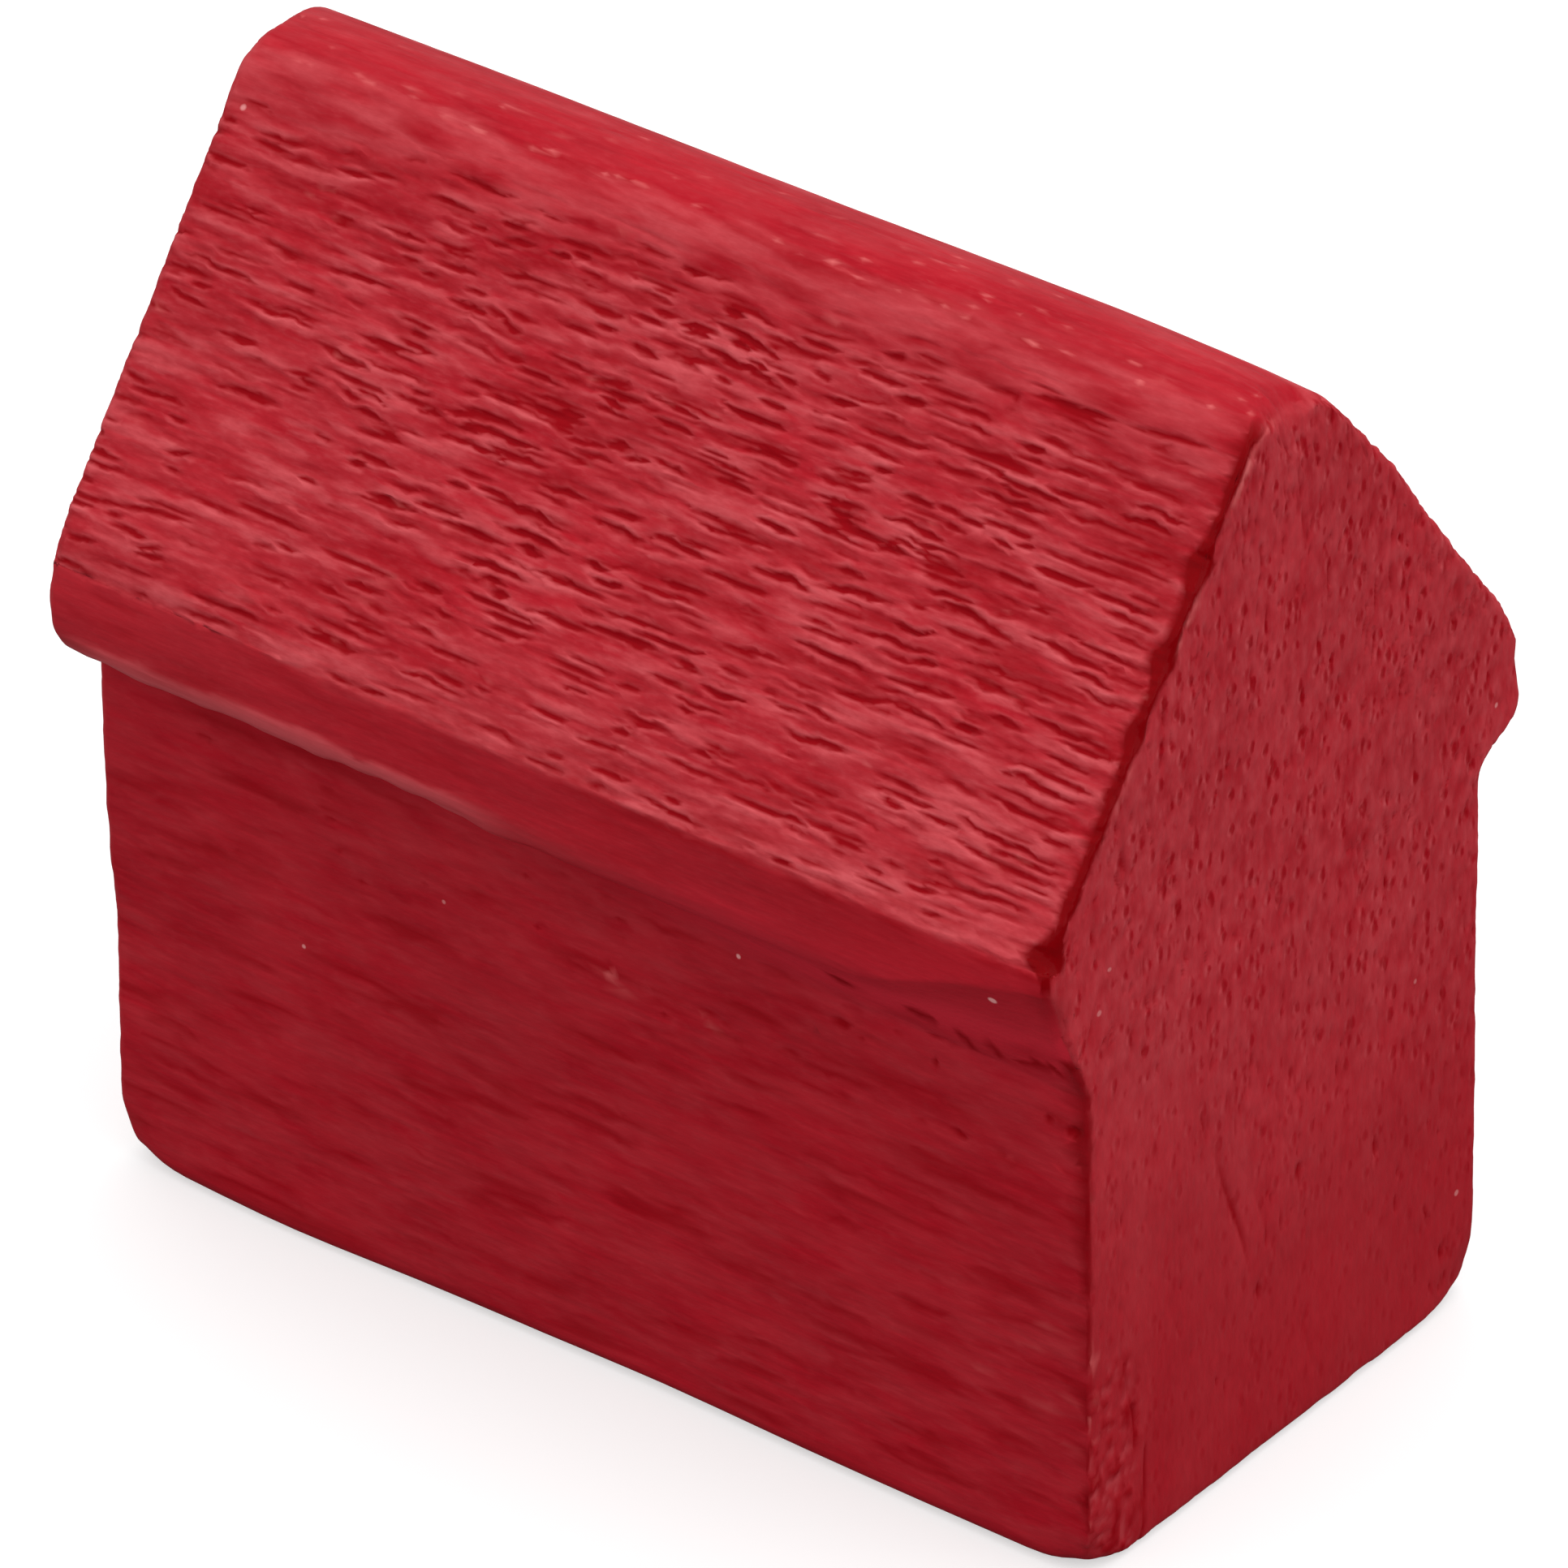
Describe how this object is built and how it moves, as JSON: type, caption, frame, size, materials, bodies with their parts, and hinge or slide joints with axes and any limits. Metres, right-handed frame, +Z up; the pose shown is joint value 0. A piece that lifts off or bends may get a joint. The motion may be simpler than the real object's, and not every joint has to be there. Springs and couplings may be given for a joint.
{
  "type": "house game piece",
  "caption": "Small solid wooden house token with a steep round-ridged roof, bullnose eaves and plain walls, painted red, that stands on a board as a playing piece.",
  "frame": {"origin": "middle of the flat base, on the surface that the piece stands on", "axes": "+X along the ridge and the wood's grain, towards one gable; +Y across the walls, towards one eave; +Z up"},
  "size_m": [0.02, 0.0126, 0.0192],
  "materials": {
    "red_painted_wood": "red paint, half matt, brushed or tumbled over open-grained hardwood, thicker and glossier along the gable edges and under the eaves"
  },
  "bodies": {
    "root": {"house_block": "red_painted_wood"}
  },
  "joints": []
}
